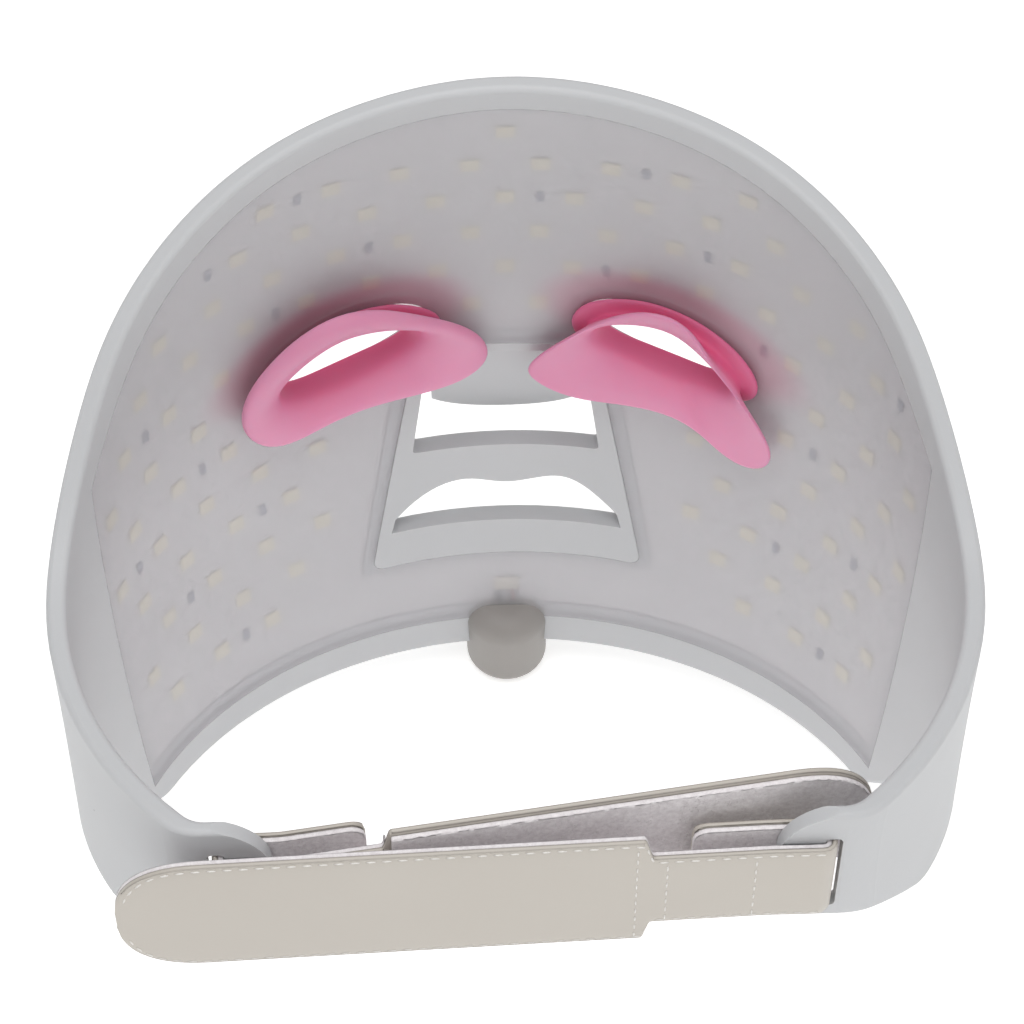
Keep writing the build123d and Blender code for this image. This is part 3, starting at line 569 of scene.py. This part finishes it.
def stitchRow(bm, spots, shape, surface):
    # Thread lies over the surface from one needle hole to the next: a short plump bead for each stitch
    lengths = [0.0]
    for first, second in zip(spots, spots[1:]):
        lengths.append(lengths[-1] + (second - first).length)

    def spotAt(distance):
        index = min(max(bisect.bisect_right(lengths, distance) - 1, 0), len(spots) - 2)
        share = (distance - lengths[index]) / max(lengths[index + 1] - lengths[index], 1e-6)
        return spots[index].lerp(spots[index + 1], share)

    start = 0.0
    while start + shape["stitch"] <= lengths[-1]:
        first, second = spotAt(start), spotAt(start + shape["stitch"])
        centre, heading = (first + second) / 2, (second - first).normalized()
        for vertex in bmesh.ops.create_icosphere(bm, subdivisions=1, radius=0.5)["verts"]:
            local = vertex.co.copy()
            along = local.x * (second - first).length
            across = local.y * shape["stitchThick"] * 1.5
            spot = centre + heading * along + Vector((-heading.y, heading.x)) * across
            vertex.co = (spot.x, spot.y, surface(spot) + local.z * shape["stitchThick"] * 1.4)
        start += shape["stitch"] + shape["stitchGap"]


def stitching(name, pattern, tab, shape, path, height, crown):
    hinge = path[2]
    bm = bmesh.new()
    inset = shape["stitchInset"]
    first = hinge - tab["bar"] - tab["beyond"]
    last = hinge + pattern["stitchRun"] - 0.6

    def surface(spot):
        half = max(halfWidth(spot.x - hinge, pattern, shape), 0.2)
        room = max(half - abs(spot.y), 0.0)
        return height - crown * max(0.0, 1 - room / 2.4) ** 2

    edge = []
    count = 400
    for step in range(count + 1):
        along = first + (last - first) * math.sin(step / count * math.pi / 2)
        half = halfWidth(along - hinge, pattern, shape) - inset
        if half > 0.5:
            edge.append(Vector((along - inset * min(max((along - last + 8) / 8, 0), 1), half)))
    stitchRow(bm, edge, shape, surface)
    stitchRow(bm, [Vector((spot.x, -spot.y)) for spot in edge], shape, surface)
    for run in pattern["seams"]:
        half = halfWidth(run, pattern, shape) - inset
        stitchRow(bm, [Vector((hinge + run, -half)), Vector((hinge + run, half))], shape, surface)
    foldAlong(bm, pattern, tab, path)
    return finishPiece(bm, name, strapThread)


def pileFibres(name, pattern, tab, shape, path, start, stop, height, facing, count, seed, inset):
    # Loose loops of the pile: short bent hairs that stand off the face
    hinge = path[2]
    draw = random.Random(seed)
    bm = bmesh.new()
    made = 0
    while made < count:
        along = draw.uniform(start, stop)
        half = halfWidth(along - hinge, pattern, shape) - inset
        up = draw.uniform(-half, half)
        if half < 2:
            continue
        turn = draw.uniform(0, 2 * math.pi)
        reach = draw.uniform(0.35, 0.85)
        rise = draw.uniform(0.15, 0.45)
        hair = bmesh.ops.create_cone(bm, cap_ends=True, segments=3, radius1=0.055, radius2=0.04, depth=1.0)
        for vertex in hair["verts"]:
            level = vertex.co.z + 0.5
            spread = Vector((vertex.co.x, vertex.co.y))
            lean = reach * level
            vertex.co = (along + math.cos(turn) * lean + spread.x, up + math.sin(turn) * lean + spread.y,
                         height + facing * (rise * math.sin(level * 2.2) - 0.05) + spread.x * 0.3)
        made += 1
    foldAlong(bm, pattern, tab, path)
    return finishPiece(bm, name, strapPile)


def placeOnStrap(piece):
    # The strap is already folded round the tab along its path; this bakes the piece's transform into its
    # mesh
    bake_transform(piece)


for body, pattern in strapPatterns.items():
    tab, shape = tabGeometry, strapShape
    path = strapPath(pattern, tab)
    hinge = path[2]
    tip = hinge + pattern["run"] - 0.05
    cover = strapLayer(f"{body}_leather", pattern, tab, shape, path, 0.02, tab["cover"], 0.0, 0.0, tip,
                       strapLeather, crown=0.35)
    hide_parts(f"{body}_cover", f"{body}_fold_cover", f"{body}_anchor_cover")
    placeOnStrap(cover)
    backingEnd = tip - 0.4 if body == "outer_strap" else hinge + pattern["narrowRun"]
    backing = strapLayer(f"{body}_backing", pattern, tab, shape, path, -tab["lining"], -0.02, 0.5, 0.0,
                         backingEnd, strapPile)
    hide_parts(f"{body}_lining", f"{body}_fold_lining", f"{body}_anchor_lining")
    placeOnStrap(backing)
    thread = stitching(f"{body}_stitching", pattern, tab, shape, path, tab["cover"], 0.35)
    placeOnStrap(thread)
    fuzz = pileFibres(f"{body}_backing_fibres", pattern, tab, shape, path, 0.8, hinge - 18,
                      -tab["lining"], -1, 700, 11 + pattern["side"], 0.8)
    placeOnStrap(fuzz)
    if body == "inner_strap":
        pileStart, pileTop = hinge + pattern["narrowRun"], tab["cover"] + 1.1
        loop = strapLayer("inner_strap_pile", pattern, tab, shape, path, tab["cover"] + 0.02, pileTop, 1.0,
                          pileStart + 0.9, tip - 1.0, strapPile, rough=0.25)
        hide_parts("inner_strap_loop")
        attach(loop, "inner_strap")
        hairs = pileFibres("inner_strap_pile_fibres", pattern, tab, shape, path, pileStart + 2, tip - 2,
                           pileTop, 1, 3600, 5, 1.8)
        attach(hairs, "inner_strap")
    print(body, "made")


# Studio: pale floor, soft lights and camera
studio = {
    "floor": "#F6F6F5", "floorDark": "#F4F4F3", "floorHalf": 4.0, "sky": 0.34, "lampAim": (0, 0.06, 0),
    "key": {"place": (0.1, 0.2, 1.5), "size": 1.3, "power": 14.0},
    "fill": {"place": (-0.5, 1.2, 0.7), "size": 1.0, "power": 3.0},
    "cameraPlace": (0.0135, 0.4929, 0.5761), "cameraAim": (0.00013, 0.0569, 0.00206), "lens": 116.2,
}

floorMaterial, floorTree, floorOutput, floorPlace = newMaterial("painted studio floor")
floorTone = addNode(floorTree, "ShaderNodeTexNoise", {"Scale": 1.5}, {"Vector": floorPlace})
floorColour = mixColours(floorTree, floorTone.outputs["Fac"], studio["floor"], studio["floorDark"])
floorSkin = addNode(floorTree, "ShaderNodeBsdfPrincipled",
                    {"Roughness": 0.9, "Emission Color": linear("#FFFFFF"), "Emission Strength": 0.5},
                    {"Base Color": floorColour})
floorTree.links.new(floorSkin.outputs["BSDF"], floorOutput.inputs["Surface"])
bm = bmesh.new()
bmesh.ops.create_grid(bm, x_segments=1, y_segments=1, size=studio["floorHalf"] * 1000)
bmesh.ops.translate(bm, vec=(0, 0, cadLow.z * 1000 - 0.05), verts=bm.verts)
floor = finishPiece(bm, "studio_floor", floorMaterial)

world = bpy.data.worlds.new("studio")
world.use_nodes = True
scene.world = world
world.node_tree.nodes["Background"].inputs["Color"].default_value = (1, 1, 1, 1)
world.node_tree.nodes["Background"].inputs["Strength"].default_value = studio["sky"]
scene.view_settings.view_transform = "Standard"


def aimAt(piece, place, target):
    piece.location = place
    piece.rotation_euler = (Vector(place) - Vector(target)).to_track_quat("Z", "Y").to_euler()


for name in ("key", "fill"):
    settings = studio[name]
    lamp = bpy.data.lights.new(name, "AREA")
    lamp.shape = "DISK"
    lamp.size = settings["size"]
    lamp.energy = settings["power"]
    holder = bpy.data.objects.new(name, lamp)
    scene.collection.objects.link(holder)
    aimAt(holder, settings["place"], studio["lampAim"])

cameraData = bpy.data.cameras.new("camera")
cameraData.lens = studio["lens"]
cameraData.clip_start = 0.01
camera = bpy.data.objects.new("camera", cameraData)
scene.collection.objects.link(camera)
aimAt(camera, studio["cameraPlace"], studio["cameraAim"])
scene.camera = camera
print("studio ready")
